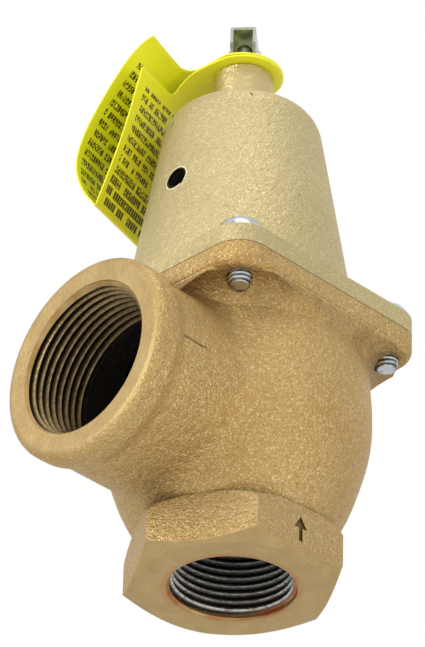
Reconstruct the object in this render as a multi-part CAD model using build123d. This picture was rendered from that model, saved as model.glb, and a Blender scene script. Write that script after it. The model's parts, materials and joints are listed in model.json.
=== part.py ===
from build123d import *
from math import cos, pi, radians, sin, tan
import os

# Pressure relief valve, 1 in x 1-1/4 in female pipe thread, bronze, with a test lever.
# Millimetres. The origin is the centre of the inlet face, +Z runs up the stem and +X out of the outlet.

# ---- driving dimensions ----
INLET_THREAD_R = 16.60      # thread root radius, 1 in pipe thread
INLET_THREAD_DEPTH = 18.5
INLET_CHAMFER = 0.15        # edge break; the thread's own run-in stands inside the bore
THROAT_R = 11.50            # bore under the seat, which the disc guide's wings run in

OUTLET_THREAD_R = 21.00     # thread root radius, 1-1/4 in pipe thread
OUTLET_THREAD_DEPTH = 19.0
OUTLET_CHAMFER = 0.2
OUTLET_Z = 43.7             # height of the outlet's axis
OUTLET_X = 54.9             # outlet face
OUTLET_BOSS_R = 27.7
OUTLET_NECK_R = 26.3        # boss behind its rim
OUTLET_FILLET = 8.0         # blend from the boss into the bowl
OUTLET_EDGE_R = 2.4         # rounding of the boss's outer edge

HEX_ACROSS_FLATS = 50.4
HEX_TURN = -3.3             # the hexagon sits a little off square to the outlet, as cast
HEX_TOP = 14.2
HEX_CORNER_TOP = 10.4       # where the rounded shoulder starts on the corners
HEX_FACE_R = 24.0           # turned face inside the 30 degree corner chamfer
HEX_CHAMFER_ANGLE = 27.0
ARROW_Z = 7.2               # flow arrow sunk in one flat, pointing up into the valve
ARROW_LENGTH = 7.0
ARROW_SHAFT = 1.2
ARROW_HEAD = 4.4
ARROW_DEPTH = 0.5

SEAT_Z = 39.0
SEAT_LAND_R = 12.6
NOZZLE_R = 15.5
CHAMBER_FLOOR = 24.0

NECK_UNDER_BOWL_R = 24.2    # round neck that joins the bowl to the hexagon
NECK_OVERLAP = 1.2          # how far the bowl runs down inside the hexagon's shoulder

BOWL_FOOT = (18.0, 4.0)     # (radius, height) points of the bowl's side, from inside the hexagon up
BOWL_SIDE = [(27.5, 19.6), (29.8, 24.5), (32.2, 31.5), (34.4, 40.0), (35.1, 48.5), (34.6, 58.0),
             (34.0, 66.0)]
BOWL_TOP = (33.9, 80.0)
CHAMBER_SIDE = [(24.0, CHAMBER_FLOOR), (27.5, 29.0), (30.0, 38.0), (30.6, 48.0), (29.6, 60.0),
                (26.5, 66.0)]
SUMP_STEP = 3.5             # taper outside the nozzle's top
OUTLET_CORE_X = 22.0        # how far the outlet's bore runs in
OUTLET_CORE_STEP = 1.6      # bore behind the thread, smaller by this

FLANGE_HALF = 34.5          # square flange, half a side
FLANGE_CORNER_R = 8.4
BODY_FLANGE_BOTTOM = 69.0
FLANGE_EDGE_R = 2.8         # rounding under the body's flange
JOINT_Z = 75.5              # where the bonnet meets the body
BONNET_FLANGE_TOP = 80.8
CORNER_FLARE_R = 7.5        # fillet from the bowl out to the flange's corners

SCREW_PITCH = 54.7          # screw spacing along each side of the flange
SCREW_R = 3.10              # 1/4 in machine screw
SCREW_ROOT_R = 2.55         # root of its thread, which shows on the tip
SCREW_THREAD_TOP = 71.0
SCREW_HOLE_R = 3.15
SCREW_CLEARANCE_R = 3.50
SCREW_TIP_Z = 66.0
SCREW_HEAD_R = 6.5
SCREW_HEAD_H = 5.1
SCREW_SLOT_W = 1.5
SCREW_SLOT_D = 2.2
SCREW_TURNS = [25, 70, -15, 100]
SCREW_HOLE_BELOW = 3.0      # the body's holes run out this far under the tips

DIAPHRAGM_R = 31.0
DIAPHRAGM_T = 1.5
DIAPHRAGM_POCKET_R = 31.2

BONNET_BASE_R = 30.4
BONNET_SHOULDER_R = 21.2    # where the straight cone ends and the shoulder turns in
BONNET_SHOULDER_Z = 136.0
NECK_BASE_Z = 144.2
BONNET_WALL = 4.0
NECK_R = 8.05
NECK_TOP = 157.1
NECK_BEVEL = 0.6
NECK_BORE_R = 6.20
VENT_R = 2.9
VENT_Z = 112.0
VENT_TURN = 1.8
VENT_CHAMFER = 0.4

DISC_R = 14.2
DISC_T = 3.2
DISC_BORE_R = 2.0
HOLDER_R = 15.6
HOLDER_SKIRT = 2.4          # how far the holder's rim hangs down round the disc
HOLDER_HUB_R = 5.5
HOLDER_H = 14.0
GUIDE_BOTTOM = 26.0
GUIDE_H = 10.0
GUIDE_WING_T = 1.8
GUIDE_PLATE_R = 8.5
GUIDE_PLATE_T = 2.6
GUIDE_HUB_R = 3.2
DISC_SCREW_R = 1.6
DISC_SCREW_HEAD_R = 2.8
DISC_SCREW_HEAD_H = 2.0
DISC_SCREW_SLOT_W = 0.9

STEM_R = 2.30
STEM_TIP_Z = 168.0
STEM_FOOT_Z = 45.0
STEM_COLLAR_R = 3.6
STEM_COLLAR_H = 2.0
PLATE_R = 18.5              # plates that clamp the diaphragm's middle
PLATE_T = 3.0
NUT_R = 5.6
NUT_H = 2.6
PIN_Z = 163.7
PIN_R = 1.20
PIN_HOLE_R = 1.25
PIN_HEAD_R = 2.1
PIN_HEAD_T = 0.9

GUIDE_FIT = 0.08            # radial clearance of running fits
PART_GAP = 0.3              # space between parts that move past each other

SCREW_TOP_Z = 160.2         # top of the adjusting screw, which the lever's heel bears on
ADJUSTER_R = 6.0
ADJUSTER_BOTTOM = 134.0
ADJUSTER_NOSE_R = 5.4
ADJUSTER_NOSE_H = 11.0
ADJUSTER_HEAD_Z = 156.0
ADJUSTER_HEX_Z = 158.2
ADJUSTER_HEX_AF = 10.4

SPRING_R = 11.0             # mean coil radius
SPRING_WIRE_R = 1.7
SPRING_COILS = 7.0
SPRING_BOTTOM = 83.0
SPRING_TOP = 131.0
BUTTON_R = 14.0
BUTTON_SPIGOT_R = 9.0       # spigot inside the coil
BUTTON_SPIGOT_H = 3.5
BUTTON_T = 1.8

LEVER_AZIMUTH = 220.0       # the way the lever's handle points
LEVER_WIDTH = 6.9
LEVER_SHEET = 0.8
LEVER_WEB_TOP = 170.1
LEVER_NOSE = 6.0            # from the pin's axis to the end of the web over the heel
LEVER_LENGTH = 50.0         # from the pin's axis to the handle's end
LEVER_FLANGE_DEPTH = 4.4
LEVER_TAB_WIDTH = 11.0
LEVER_TAB_LENGTH = 12.0
LEVER_TAB_CORNER_R = 3.0
LEVER_TIP_DEPTH = 2.4       # depth of the cheeks at the handle's end
LEVER_HEEL_BACK = 4.5       # level part of the heel behind the pin
LEVER_EDGE_R = 0.6
HEEL_GAP = 0.1
HEEL_LIFT_PER_RAD = 2.2     # stem lift for each radian of lever, set by the heel's involute
LEVER_TRAVEL = 75.0

TAG_AZIMUTH = -75.0
TAG_T = 0.5
TAG_HALF_WIDTH = 22.0
STRAP_HALF_WIDTH = 10.8
STRAP_END_R = 10.8
STRAP_HOLE_R = 6.6
STRAP_GAP = 0.15
TAG_FOLD = (32.5, 113.5)    # (distance from the stem, height) of the fold
INNER_SHOULDER = 17.2       # distance from the stem at which each leaf widens
OUTER_SHOULDER = 12.0


# ---- helpers ----
def turned(*points):
    """A solid of revolution about Z from (radius, height) corners."""
    outline = Polyline(*[(r, 0, z) for r, z in points], close=True)
    return revolve(make_face(outline), Axis.Z, 360)


def rod(radius, bottom, top, x=0.0, y=0.0):
    return Pos(x, y, (bottom + top) / 2) * Cylinder(radius, top - bottom)


def square_plate(bottom, top):
    outline = RectangleRounded(2 * FLANGE_HALF, 2 * FLANGE_HALF, FLANGE_CORNER_R)
    return Pos(0, 0, bottom) * extrude(outline, top - bottom)


def screw_places():
    half = SCREW_PITCH / 2
    return [(half, half), (-half, half), (-half, -half), (half, -half)]


def save(shape, node):
    export_step(shape, f"parts/{node}.step")


# ---- body ----
def flow_arrow():
    """Cutter for the arrow in the hexagon's flat on the +Y side."""
    facing = radians(HEX_TURN + 90)
    outward = (cos(facing), sin(facing), 0)
    reach = HEX_ACROSS_FLATS / 2
    flat = Plane(origin=(reach * outward[0], reach * outward[1], ARROW_Z), x_dir=(-outward[1], outward[0], 0),
                 z_dir=outward)
    tip = ARROW_LENGTH / 2
    barb = tip - ARROW_HEAD * 0.75
    shaft = ARROW_SHAFT / 2
    wing = ARROW_HEAD / 2
    outline = Polyline((-shaft, -tip), (shaft, -tip), (shaft, barb), (wing, barb), (0, tip), (-wing, barb),
                       (-shaft, barb), close=True)
    return extrude(flat * make_face(outline), ARROW_DEPTH, both=True)


def inlet_hexagon():
    circumradius = HEX_ACROSS_FLATS / 2 / cos(radians(30))
    rim = circumradius + 0.5
    prism = Rot(0, 0, HEX_TURN) * extrude(RegularPolygon(circumradius, 6), HEX_TOP) - flow_arrow()
    rise = (rim - HEX_FACE_R) * tan(radians(HEX_CHAMFER_ANGLE))
    shoulder = ThreePointArc((rim, 0, HEX_CORNER_TOP), (rim - 1.9, 0, HEX_TOP - 1.5), (HEX_FACE_R, 0, HEX_TOP))
    rest = Polyline((HEX_FACE_R, 0, HEX_TOP), (0, 0, HEX_TOP), (0, 0, 0), (HEX_FACE_R, 0, 0),
                    (rim, 0, rise), (rim, 0, HEX_CORNER_TOP))
    return prism & revolve(make_face(shoulder + rest), Axis.Z, 360)


def bowl():
    """The barrel-shaped casting, from inside the hexagon up to the flange."""
    side = Spline(*[(r, 0, z) for r, z in (BOWL_FOOT, *BOWL_SIDE, BOWL_TOP)])
    rest = Polyline(side @ 1, (0, 0, BOWL_TOP[1]), (0, 0, BOWL_FOOT[1]), side @ 0)
    return revolve(make_face(side + rest), Axis.Z, 360)


def corner_flare():
    """Concave fillet under the flange, which shows at the four corners only."""
    start = FLANGE_HALF - 0.5
    inner = start - 1
    arc_bottom = BODY_FLANGE_BOTTOM - CORNER_FLARE_R
    reach = start + CORNER_FLARE_R
    middle = CORNER_FLARE_R * cos(pi / 4)
    arc = ThreePointArc((start, 0, arc_bottom), (reach - middle, 0, arc_bottom + middle),
                        (reach, 0, BODY_FLANGE_BOTTOM))
    rest = Polyline((reach, 0, BODY_FLANGE_BOTTOM), (reach, 0, BODY_FLANGE_BOTTOM + 1),
                    (inner, 0, BODY_FLANGE_BOTTOM + 1), (inner, 0, arc_bottom), (start, 0, arc_bottom))
    ring = revolve(make_face(arc + rest), Axis.Z, 360)
    return ring & square_plate(arc_bottom - 1, BODY_FLANGE_BOTTOM + 1)


def outlet_boss():
    """Outlet branch, turned about the outlet's axis, with a rim a little larger than its neck."""
    rim_start = OUTLET_X - 5.5
    neck_start = OUTLET_X - 11.0
    root = 10.0
    edge_x = OUTLET_X - OUTLET_EDGE_R
    edge_r = OUTLET_BOSS_R - OUTLET_EDGE_R
    edge_middle = OUTLET_EDGE_R * cos(pi / 4)
    edge = ThreePointArc((OUTLET_X, edge_r), (edge_x + edge_middle, edge_r + edge_middle),
                         (edge_x, OUTLET_BOSS_R))
    rim = Line((edge_x, OUTLET_BOSS_R), (rim_start, OUTLET_BOSS_R))
    fall = Spline((rim_start, OUTLET_BOSS_R), (neck_start, OUTLET_NECK_R), tangents=[(-1, 0), (-1, 0)])
    rest = Polyline((neck_start, OUTLET_NECK_R), (root, OUTLET_NECK_R), (root, 0), (OUTLET_X, 0),
                    (OUTLET_X, edge_r))
    return Pos(0, 0, OUTLET_Z) * revolve(make_face(edge + rim + fall + rest), Axis.X, 360)


def outer_casting():
    """Bowl and outlet blended together, with the inlet hexagon and the flange added."""
    shape = bowl() + outlet_boss()
    seams = [e for e in shape.edges().filter_by(GeomType.BSPLINE) if 12 < e.center().X < 36]
    shape = fillet(seams, OUTLET_FILLET)
    neck_bottom = HEX_TOP - NECK_OVERLAP
    shape -= rod(2 * FLANGE_HALF, -1, neck_bottom) - rod(NECK_UNDER_BOWL_R, -1, neck_bottom)
    shape -= rod(2 * FLANGE_HALF, JOINT_Z, BOWL_TOP[1] + 1)
    shape += inlet_hexagon()
    shape += corner_flare()
    flange = square_plate(BODY_FLANGE_BOTTOM, JOINT_Z)
    shape += fillet(flange.edges().group_by(Axis.Z)[0], FLANGE_EDGE_R)
    return shape


def inner_chamber():
    """The space above the chamber floor, round the nozzle and up to the diaphragm."""
    return turned(
        (NOZZLE_R, CHAMBER_FLOOR), *CHAMBER_SIDE, (CHAMBER_SIDE[-1][0], JOINT_Z + 1),
        (0, JOINT_Z + 1), (0, SEAT_Z), (SEAT_LAND_R, SEAT_Z), (NOZZLE_R, SEAT_Z - SUMP_STEP),
    )


def inlet_port():
    face_r = INLET_THREAD_R + INLET_CHAMFER
    return turned(
        (0, -1), (face_r + 1, -1), (face_r, 0), (INLET_THREAD_R, INLET_CHAMFER),
        (INLET_THREAD_R, INLET_THREAD_DEPTH), (THROAT_R, INLET_THREAD_DEPTH + 2.5),
        (THROAT_R, SEAT_Z + 1), (0, SEAT_Z + 1),
    )


def outlet_port():
    neck = OUTLET_THREAD_R - OUTLET_CORE_STEP
    depth = OUTLET_X - OUTLET_THREAD_DEPTH
    face_r = OUTLET_THREAD_R + OUTLET_CHAMFER
    outline = Polyline(
        (OUTLET_X + 1, 0), (OUTLET_X + 1, face_r + 1), (OUTLET_X, face_r),
        (OUTLET_X - OUTLET_CHAMFER, OUTLET_THREAD_R), (depth, OUTLET_THREAD_R),
        (depth - 1.2, neck), (OUTLET_CORE_X, neck), (OUTLET_CORE_X, 0), close=True,
    )
    return Pos(0, 0, OUTLET_Z) * revolve(make_face(outline), Axis.X, 360)


def body():
    shape = outer_casting() - inner_chamber() - inlet_port() - outlet_port()
    shape -= rod(DIAPHRAGM_POCKET_R, JOINT_Z - DIAPHRAGM_T, JOINT_Z + 1)
    for x, y in screw_places():
        shape -= rod(SCREW_HOLE_R, SCREW_TIP_Z - SCREW_HOLE_BELOW, JOINT_Z + 1, x, y)
    return shape


# ---- bonnet and its fasteners ----
def cone_slope():
    """Change of the bonnet's radius for each millimetre of height."""
    return (BONNET_SHOULDER_R - BONNET_BASE_R) / (BONNET_SHOULDER_Z - BONNET_FLANGE_TOP)


def bonnet_outside():
    lower = (BONNET_BASE_R, 0, BONNET_FLANGE_TOP)
    start = (BONNET_SHOULDER_R, 0, BONNET_SHOULDER_Z)
    end = (NECK_R + 0.7, 0, NECK_BASE_Z)
    shoulder = Spline(start, (20.4, 0, 138.4), (19.1, 0, 140.3), (17.2, 0, 141.7), (13.0, 0, 143.1), end,
                      tangents=[(cone_slope(), 0, 1), (-1, 0, 0.3)])
    foot_z = BONNET_FLANGE_TOP - 2
    rest = Polyline(end, (NECK_R, 0, NECK_BASE_Z + 1), (NECK_R, 0, NECK_TOP - NECK_BEVEL),
                    (NECK_R - NECK_BEVEL, 0, NECK_TOP), (0, 0, NECK_TOP), (0, 0, foot_z),
                    (BONNET_BASE_R + 0.3, 0, foot_z), lower, start)
    return revolve(make_face(shoulder + rest), Axis.Z, 360)


def bonnet():
    wall = BONNET_WALL
    inside = turned(
        (0, JOINT_Z - 1), (BONNET_BASE_R - wall, JOINT_Z - 1), (BONNET_BASE_R - wall, BONNET_FLANGE_TOP + 4),
        (BONNET_SHOULDER_R - wall, BONNET_SHOULDER_Z - 1), (NECK_BORE_R + 8, BONNET_SHOULDER_Z + 2.4),
        (NECK_BORE_R, BONNET_SHOULDER_Z + 3), (NECK_BORE_R, NECK_TOP + 1), (0, NECK_TOP + 1),
    )
    shape = bonnet_outside() + square_plate(JOINT_Z, BONNET_FLANGE_TOP) - inside
    outside_r = BONNET_BASE_R + cone_slope() * (VENT_Z - BONNET_FLANGE_TOP)
    bore = Pos(outside_r, 0, 0) * Rot(0, 90, 0) * Cylinder(VENT_R, 20)
    flare = Pos(outside_r, 0, 0) * Rot(0, 90, 0) * Cone(VENT_R, VENT_R + 2 * VENT_CHAMFER, 2 * VENT_CHAMFER)
    shape -= Rot(0, 0, VENT_TURN) * Pos(0, 0, VENT_Z) * (bore + flare)
    for x, y in screw_places():
        shape -= rod(SCREW_CLEARANCE_R, JOINT_Z - 1, BONNET_FLANGE_TOP + 6, x, y)
        shape -= rod(SCREW_HEAD_R + 0.3, BONNET_FLANGE_TOP, BONNET_FLANGE_TOP + 6, x, y)
    return shape


def bonnet_screws():
    """Four slotted round-head machine screws."""
    dome_r = (SCREW_HEAD_R ** 2 + SCREW_HEAD_H ** 2) / (2 * SCREW_HEAD_H)
    ball = Pos(0, 0, BONNET_FLANGE_TOP + SCREW_HEAD_H - dome_r) * Sphere(dome_r)
    dome = ball & rod(SCREW_HEAD_R + 2, BONNET_FLANGE_TOP, BONNET_FLANGE_TOP + SCREW_HEAD_H + 1)
    tip = rod(SCREW_ROOT_R, SCREW_TIP_Z, SCREW_THREAD_TOP)
    tip = chamfer(tip.edges().sort_by(Axis.Z)[0], 0.3)
    shank = tip + rod(SCREW_R, SCREW_THREAD_TOP, BONNET_FLANGE_TOP + 1)
    slot_z = BONNET_FLANGE_TOP + SCREW_HEAD_H - SCREW_SLOT_D / 2 + 1
    slot = Pos(0, 0, slot_z) * Box(3 * SCREW_HEAD_R, SCREW_SLOT_W, SCREW_SLOT_D + 2)
    one = dome + shank - slot
    places = zip(screw_places(), SCREW_TURNS)
    return Compound([Pos(x, y, 0) * Rot(0, 0, turn) * one for (x, y), turn in places])


# ---- pressure trim ----
def seat_disc():
    """Rubber disc that closes on the nozzle's land."""
    return rod(DISC_R, SEAT_Z, SEAT_Z + DISC_T) - rod(DISC_BORE_R, SEAT_Z - 1, SEAT_Z + DISC_T + 1)


def disc_guide():
    """Hub under the seat disc with four wings that run in the throat."""
    wing_r = THROAT_R - GUIDE_FIT
    top = GUIDE_BOTTOM + GUIDE_H
    hub = rod(GUIDE_HUB_R, GUIDE_BOTTOM + 1, SEAT_Z - 1)
    plate = rod(GUIDE_PLATE_R, SEAT_Z - GUIDE_PLATE_T, SEAT_Z)
    wings = Box(2 * wing_r, GUIDE_WING_T, GUIDE_H) + Box(GUIDE_WING_T, 2 * wing_r, GUIDE_H)
    wings = Pos(0, 0, GUIDE_BOTTOM + GUIDE_H / 2) * wings & rod(wing_r, GUIDE_BOTTOM, top)
    return hub + plate + wings - rod(DISC_SCREW_R, GUIDE_BOTTOM - 1, SEAT_Z + 1)


def disc_holder():
    """Cup over the seat disc, screwed to the stem's foot."""
    disc_top = SEAT_Z + DISC_T
    rim = disc_top - HOLDER_SKIRT
    top = SEAT_Z + HOLDER_H
    shell = turned((0, disc_top), (DISC_R, disc_top), (DISC_R, rim), (HOLDER_R, rim),
                   (HOLDER_R, disc_top + 3.3), (HOLDER_R / 2, disc_top + 6.3), (HOLDER_HUB_R, top), (0, top))
    return shell - rod(STEM_R, STEM_FOOT_Z, top + 1) - rod(DISC_SCREW_R, SEAT_Z, STEM_FOOT_Z + 1)


def disc_screw():
    """Screw up through the guide and the seat disc into the holder."""
    under_head = GUIDE_BOTTOM
    head_z = under_head - DISC_SCREW_HEAD_H
    head = rod(DISC_SCREW_HEAD_R, head_z, under_head)
    slot = Pos(0, 0, head_z) * Box(3 * DISC_SCREW_HEAD_R, DISC_SCREW_SLOT_W, DISC_SCREW_HEAD_H * 0.8)
    return head + rod(DISC_SCREW_R, under_head, STEM_FOOT_Z - 0.5) - slot


def stem():
    shaft = rod(STEM_R, STEM_FOOT_Z, STEM_TIP_Z - STEM_R)
    tip = Pos(0, 0, STEM_TIP_Z - STEM_R) * Sphere(STEM_R)
    plate_z = JOINT_Z - DIAPHRAGM_T - PLATE_T
    return shaft + tip + rod(STEM_COLLAR_R, plate_z - STEM_COLLAR_H, plate_z) - pin_hole()


def pin_hole():
    return lever_turn() * (Pos(0, 0, PIN_Z) * Rot(90, 0, 0) * Cylinder(PIN_HOLE_R, 3 * LEVER_WIDTH))


def diaphragm():
    """Rubber sheet, clamped at its rim between the flanges and at its middle between the plates."""
    return turned((STEM_R, JOINT_Z - DIAPHRAGM_T), (DIAPHRAGM_R, JOINT_Z - DIAPHRAGM_T),
                  (DIAPHRAGM_R, JOINT_Z), (STEM_R, JOINT_Z))


def lower_plate():
    """Plate under the diaphragm, bevelled underneath."""
    top = JOINT_Z - DIAPHRAGM_T
    bottom = top - PLATE_T
    half = PLATE_T / 2
    return turned((STEM_R, bottom), (PLATE_R - half, bottom), (PLATE_R, bottom + half),
                  (PLATE_R, top), (STEM_R, top))


def upper_plate():
    """Plate on the diaphragm, bevelled on top."""
    top = JOINT_Z + PLATE_T
    half = PLATE_T / 2
    return turned((STEM_R, JOINT_Z), (PLATE_R, JOINT_Z), (PLATE_R, top - half),
                  (PLATE_R - 2 * half, top), (STEM_R, top))


def plate_nut():
    bottom = JOINT_Z + PLATE_T
    prism = Pos(0, 0, bottom) * extrude(RegularPolygon(NUT_R, 6), NUT_H)
    return prism - rod(STEM_R, bottom - 1, bottom + NUT_H + 1)


def lower_button():
    """Spring button that sits over the nut on the upper plate."""
    bottom = JOINT_Z + PLATE_T
    nut_room_r = NUT_R + PART_GAP + 0.1
    nut_room_top = bottom + NUT_H + PART_GAP + 0.1
    top = SPRING_BOTTOM + BUTTON_SPIGOT_H
    bore = STEM_R + PART_GAP
    return turned((nut_room_r, bottom), (BUTTON_R, bottom), (BUTTON_R, SPRING_BOTTOM),
                  (BUTTON_SPIGOT_R, SPRING_BOTTOM), (BUTTON_SPIGOT_R, top), (bore, top),
                  (bore, nut_room_top), (nut_room_r, nut_room_top))


def upper_button():
    """Spring button under the adjusting screw's point."""
    bore = STEM_R + PART_GAP
    spigot = SPRING_TOP - BUTTON_SPIGOT_H
    return turned((bore, spigot), (BUTTON_SPIGOT_R, spigot), (BUTTON_SPIGOT_R, SPRING_TOP),
                  (BUTTON_R, SPRING_TOP), (BUTTON_R, SPRING_TOP + BUTTON_T),
                  (BUTTON_R / 2, ADJUSTER_BOTTOM), (bore, ADJUSTER_BOTTOM))


def spring():
    """Compression spring, coiled from round wire."""
    rise = SPRING_TOP - SPRING_BOTTOM - 2 * SPRING_WIRE_R
    path = Helix(rise / SPRING_COILS, rise, SPRING_R)
    section = Plane(origin=path @ 0, z_dir=path % 0) * Circle(SPRING_WIRE_R)
    return Pos(0, 0, SPRING_BOTTOM + SPRING_WIRE_R) * sweep(section, path)


def adjusting_screw():
    """Hollow screw in the bonnet's neck, hexagonal at its upper end."""
    nose_top = ADJUSTER_BOTTOM + ADJUSTER_NOSE_H
    nose = rod(ADJUSTER_NOSE_R, ADJUSTER_BOTTOM, nose_top)
    thread = rod(NECK_BORE_R - GUIDE_FIT, nose_top, ADJUSTER_HEAD_Z)
    flats = extrude(RegularPolygon(ADJUSTER_HEX_AF / 2 / cos(pi / 6), 6), SCREW_TOP_Z - ADJUSTER_HEX_Z)
    head = rod(ADJUSTER_R, ADJUSTER_HEAD_Z, ADJUSTER_HEX_Z)
    drive = Pos(0, 0, ADJUSTER_HEX_Z) * flats & rod(ADJUSTER_R, ADJUSTER_HEX_Z, SCREW_TOP_Z)
    return nose + thread + head + drive - rod(STEM_R + GUIDE_FIT, ADJUSTER_BOTTOM - 1, SCREW_TOP_Z + 1)


# ---- test lever ----
def lever_turn():
    return Rot(0, 0, LEVER_AZIMUTH)


def heel_points():
    """Involute heel under the pin: the height over a level surface grows evenly as the lever turns."""
    base = PIN_Z - SCREW_TOP_Z - HEEL_GAP
    points = []
    steps = 10
    for step in range(steps + 1):
        turn = radians(LEVER_TRAVEL + 4) * step / steps
        reach = base + HEEL_LIFT_PER_RAD * turn
        facing = -pi / 2 - turn
        x = reach * cos(facing) + HEEL_LIFT_PER_RAD * sin(facing)
        z = reach * sin(facing) - HEEL_LIFT_PER_RAD * cos(facing)
        points.append((x, 0, PIN_Z + z))
    return points


def lever_side():
    """Side view of the lever with the handle along +X and the heel towards -X."""
    heel = heel_points()
    level = heel[0][2]
    handle_low = LEVER_WEB_TOP - LEVER_FLANGE_DEPTH
    cheek_end = LEVER_LENGTH - LEVER_TAB_LENGTH / 2
    heel_curve = Spline(*heel)
    rest = Polyline(
        heel[-1], (-LEVER_NOSE, 0, LEVER_WEB_TOP), (cheek_end, 0, LEVER_WEB_TOP),
        (cheek_end, 0, LEVER_WEB_TOP - LEVER_TIP_DEPTH), (2 * LEVER_WIDTH, 0, handle_low),
        (LEVER_WIDTH, 0, level + 2 * LEVER_SHEET), (LEVER_HEEL_BACK, 0, level), heel[0],
    )
    return make_face(heel_curve + rest)


def lever():
    """Pressed channel: a web on top, a cheek each side of the stem, and a finger tab at the end."""
    half = LEVER_WIDTH / 2
    inner = half - LEVER_SHEET
    outside = extrude(lever_side(), half, both=True)
    outside = fillet(outside.edges().filter_by(Axis.X).group_by(Axis.Z)[-1], LEVER_EDGE_R)
    hollow_depth = LEVER_WIDTH * 3
    hollow = Box(3 * LEVER_LENGTH, 2 * inner, hollow_depth)
    shape = outside - Pos(0, 0, LEVER_WEB_TOP - LEVER_SHEET - hollow_depth / 2) * hollow
    tab = Pos(LEVER_LENGTH - LEVER_TAB_LENGTH / 2, 0, LEVER_WEB_TOP - LEVER_SHEET / 2)
    tab *= Box(LEVER_TAB_LENGTH, LEVER_TAB_WIDTH, LEVER_SHEET)
    tab = fillet(tab.edges().filter_by(Axis.Z), LEVER_TAB_CORNER_R)
    shape += tab
    hole = Pos(0, 0, PIN_Z) * Rot(90, 0, 0) * Cylinder(PIN_R, 3 * LEVER_WIDTH)
    return lever_turn() * (shape - hole)


def lever_pin():
    half = LEVER_WIDTH / 2
    shank = Cylinder(PIN_R, LEVER_WIDTH + 2 * PIN_HEAD_T)
    head = Cylinder(PIN_HEAD_R, PIN_HEAD_T)
    shape = shank + Pos(0, 0, half + PIN_HEAD_T / 2) * head + Pos(0, 0, -half - PIN_HEAD_T / 2) * head
    return lever_turn() * (Pos(0, 0, PIN_Z) * Rot(90, 0, 0) * shape)


# ---- instruction tag ----
def tag_leaf(points, shoulder):
    """One leaf of the tag: a bent strip, narrow over the neck and wide below its shoulder.

    The points are (distance from the stem, height) along the middle of the sheet.
    """
    middle = Spline(*[(x, 0, z) for x, z in points])
    section = Plane(origin=middle @ 0, z_dir=middle % 0, x_dir=(0, 1, 0))
    strip = sweep(section * Rectangle(2 * TAG_HALF_WIDTH, TAG_T), middle)
    reach = 3 * TAG_HALF_WIDTH
    for side in (1, -1):
        y = side * (STRAP_HALF_WIDTH + reach / 2)
        strip -= Pos(shoulder - reach / 2, y, NECK_TOP) * Box(reach, reach, reach)
    return strip


def strap(z):
    """Flat end of a strap, round past the neck."""
    foot = STRAP_END_R - 1.6
    end = rod(STRAP_END_R, z - TAG_T / 2, z + TAG_T / 2)
    return end + Pos(foot / 2, 0, z) * Box(foot, 2 * STRAP_HALF_WIDTH, TAG_T)


def tag():
    """Strip folded in two, with a hole at each end that drops over the bonnet's neck."""
    low = NECK_TOP + STRAP_GAP + TAG_T / 2
    high = low + TAG_T + STRAP_GAP
    inner = [(9.0, low), (13.2, low - 1.0), (17.2, 152.6), (24.3, 135.2), TAG_FOLD]
    outer = [(9.0, high), (13.5, high + 0.5), (19.5, 158.6), (28.6, 147.0), (36.0, 136.0), (38.4, 127.0),
             (36.4, 118.0), TAG_FOLD]
    shape = tag_leaf(inner, INNER_SHOULDER) + tag_leaf(outer, OUTER_SHOULDER) + strap(low) + strap(high)
    shape -= rod(STRAP_HOLE_R, NECK_TOP - 1, high + 1)
    return Rot(0, 0, TAG_AZIMUTH) * shape


PARTS = {
    "body": body,
    "bonnet": bonnet,
    "bonnet_screws": bonnet_screws,
    "seat_disc": seat_disc,
    "disc_guide": disc_guide,
    "disc_holder": disc_holder,
    "disc_screw": disc_screw,
    "stem": stem,
    "diaphragm": diaphragm,
    "lower_diaphragm_plate": lower_plate,
    "upper_diaphragm_plate": upper_plate,
    "diaphragm_nut": plate_nut,
    "lower_spring_button": lower_button,
    "spring": spring,
    "upper_spring_button": upper_button,
    "adjusting_screw": adjusting_screw,
    "lever": lever,
    "lever_pin": lever_pin,
    "instruction_tag": tag,
}

os.makedirs("parts", exist_ok=True)
for node, make in PARTS.items():
    save(make(), node)
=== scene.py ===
import json
import math
from bisect import bisect_left

import bmesh
import bpy
from mathutils import Matrix, Vector


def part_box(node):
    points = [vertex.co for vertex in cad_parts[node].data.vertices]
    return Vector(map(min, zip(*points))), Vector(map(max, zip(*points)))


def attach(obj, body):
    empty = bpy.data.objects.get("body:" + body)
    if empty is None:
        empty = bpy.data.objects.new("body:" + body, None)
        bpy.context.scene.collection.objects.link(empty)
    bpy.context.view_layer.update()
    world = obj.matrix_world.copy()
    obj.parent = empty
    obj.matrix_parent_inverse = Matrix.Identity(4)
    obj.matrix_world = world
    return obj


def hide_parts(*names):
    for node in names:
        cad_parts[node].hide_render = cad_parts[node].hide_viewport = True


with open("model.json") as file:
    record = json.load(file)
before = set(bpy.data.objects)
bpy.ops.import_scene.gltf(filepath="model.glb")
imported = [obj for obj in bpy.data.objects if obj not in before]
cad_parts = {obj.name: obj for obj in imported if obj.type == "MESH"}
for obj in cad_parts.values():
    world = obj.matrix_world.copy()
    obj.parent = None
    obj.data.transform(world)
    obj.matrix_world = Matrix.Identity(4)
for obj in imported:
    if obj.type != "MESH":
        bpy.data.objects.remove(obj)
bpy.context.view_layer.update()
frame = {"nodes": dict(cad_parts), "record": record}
MM = 0.001
mounts = {m["name"]: m for m in frame["record"]["mounts"]}


# ---- measures read from the frame ----
INLET_ROOT_R = mounts["inlet"]["dims"]["r_mm"] * MM
OUTLET_ROOT_R = mounts["outlet"]["dims"]["r_mm"] * MM
OUTLET_FACE_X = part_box("body")[1].x
OUTLET_Z = mounts["outlet"]["pos_m"][2]
JOINT_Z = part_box("body")[1].z
NECK_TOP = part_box("bonnet")[1].z
SCREW_TIP_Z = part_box("bonnet_screws")[0].z
LEVER_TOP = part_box("lever")[1].z

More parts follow.
